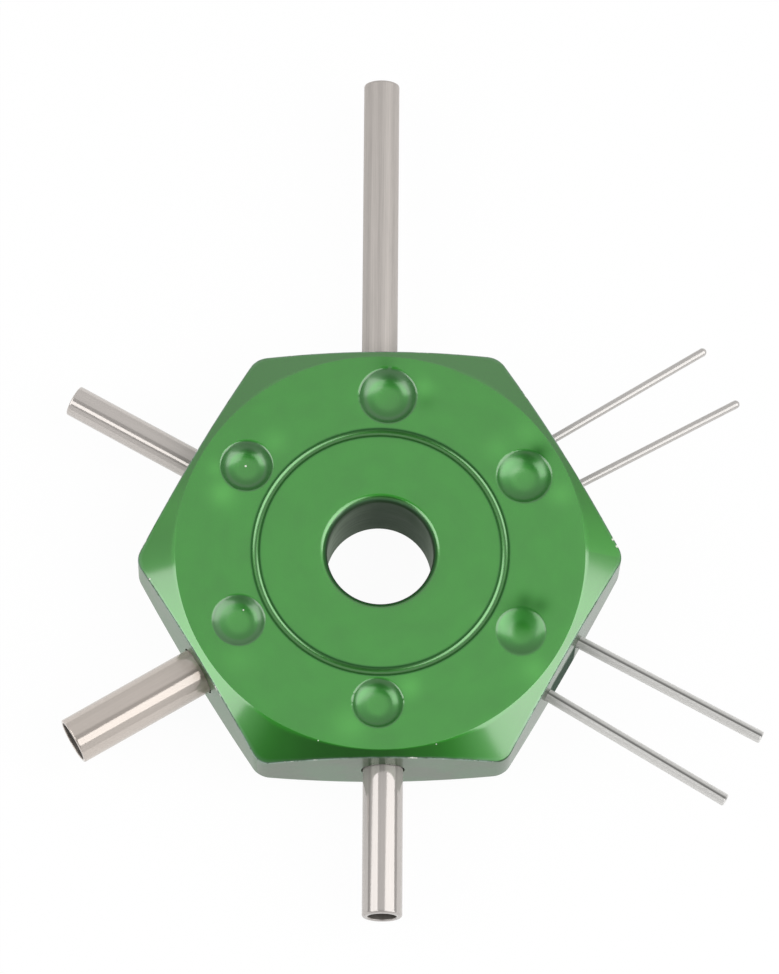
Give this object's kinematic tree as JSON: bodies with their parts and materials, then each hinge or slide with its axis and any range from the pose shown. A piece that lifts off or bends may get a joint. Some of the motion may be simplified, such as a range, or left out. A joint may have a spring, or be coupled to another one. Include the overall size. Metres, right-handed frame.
{
  "type": "terminal removal tool",
  "caption": "Flat hexagonal hub with open tubes and twin pins set radially in its flats, for pushing locked terminals out of connectors.",
  "frame": {"origin": "centre of the hub: on the axis of its middle hole, half way through its thickness, where the axes of the tools meet", "axes": "+Z along the middle hole, out of the face with the ball marks and the ring groove; +Y out of the flat that carries the long tube; +X towards the two pairs of pins"},
  "size_m": [0.066, 0.0828, 0.0096],
  "materials": {
    "hub_anodised": "green anodised over a turned and milled surface, glossy",
    "tube_satin": "nickel plated tube, satin with fine lengthwise drawing marks",
    "tube_polished": "nickel plated tube, bright",
    "pin_steel": "bright drawn steel wire"
  },
  "bodies": {
    "root": {"hub": "hub_anodised", "long_tube": "tube_satin", "small_tube": "tube_polished", "large_tube": "tube_polished", "medium_tube": "tube_polished", "fine_pin_upper": "pin_steel", "fine_pin_lower": "pin_steel", "thick_pin_upper": "pin_steel", "thick_pin_lower": "pin_steel"}
  },
  "joints": []
}
